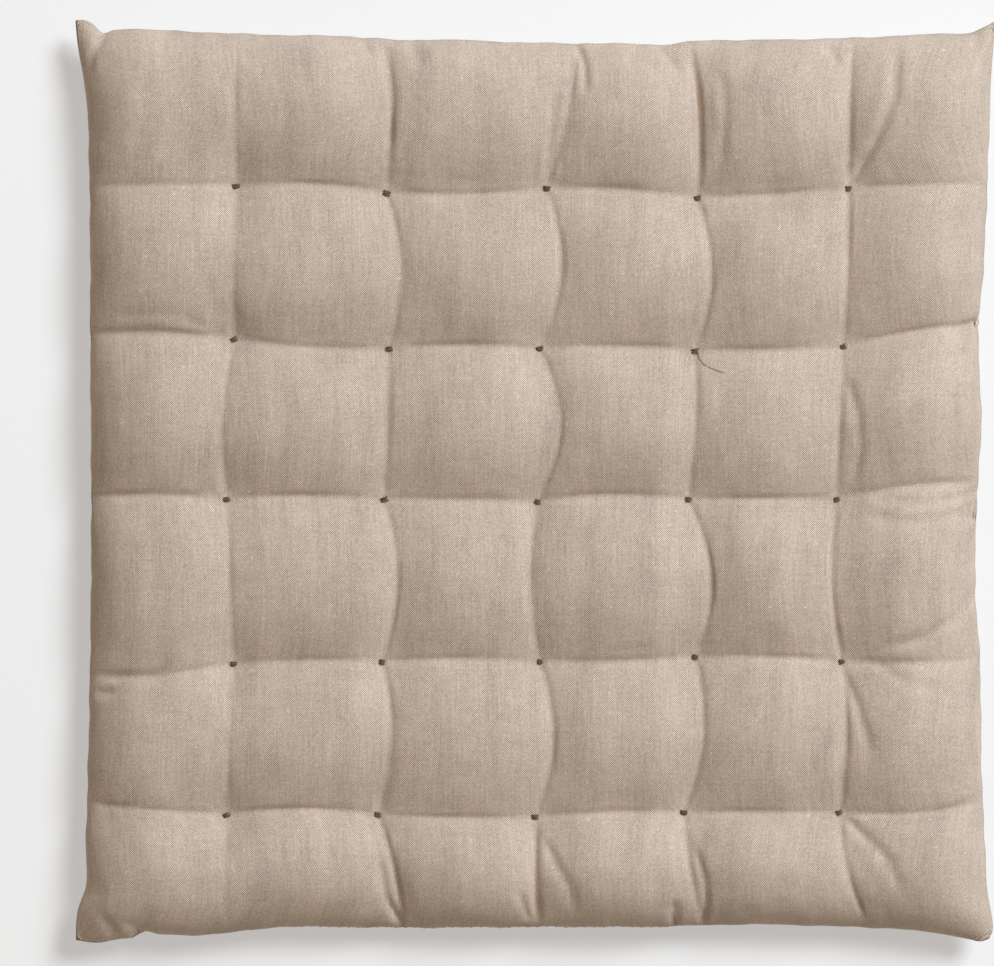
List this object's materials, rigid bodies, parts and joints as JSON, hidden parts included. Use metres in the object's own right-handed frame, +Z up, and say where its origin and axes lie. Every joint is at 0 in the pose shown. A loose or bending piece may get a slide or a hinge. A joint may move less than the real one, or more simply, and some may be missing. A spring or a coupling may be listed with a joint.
{
  "type": "tufted seat pad",
  "caption": "Square knife-edged chair seat pad of two woven panels over wadding, drawn into soft pillows by a grid of bar-tack tufts.",
  "frame": {"origin": "on the seat, under the middle of the pad's plan", "axes": "+Z up, out of the sat-on side; +Y to the back side; +X to the right; the hand-closed side is at -Y"},
  "size_m": [0.399, 0.399, 0.036],
  "materials": {
    "cover_cloth": "matte",
    "wadding": "matte",
    "sewing_thread": "matte",
    "tuft_thread": "matte"
  },
  "bodies": {
    "root": {"top_cover": "cover_cloth", "bottom_cover": "cover_cloth", "wadding_top": "wadding", "wadding_core": "wadding", "wadding_bottom": "wadding", "seam_needle_thread": "sewing_thread", "seam_bobbin_thread": "sewing_thread", "closing_stitches": "sewing_thread", "tuft_1_1": "tuft_thread", "tuft_1_2": "tuft_thread", "tuft_1_3": "tuft_thread", "tuft_1_4": "tuft_thread", "tuft_1_5": "tuft_thread", "tuft_2_1": "tuft_thread", "tuft_2_2": "tuft_thread", "tuft_2_3": "tuft_thread", "tuft_2_4": "tuft_thread", "tuft_2_5": "tuft_thread", "tuft_3_1": "tuft_thread", "tuft_3_2": "tuft_thread", "tuft_3_3": "tuft_thread", "tuft_3_4": "tuft_thread", "tuft_3_5": "tuft_thread", "tuft_4_1": "tuft_thread", "tuft_4_2": "tuft_thread", "tuft_4_3": "tuft_thread", "tuft_4_4": "tuft_thread", "tuft_4_5": "tuft_thread", "tuft_5_1": "tuft_thread", "tuft_5_2": "tuft_thread", "tuft_5_3": "tuft_thread", "tuft_5_4": "tuft_thread", "tuft_5_5": "tuft_thread"}
  },
  "joints": []
}
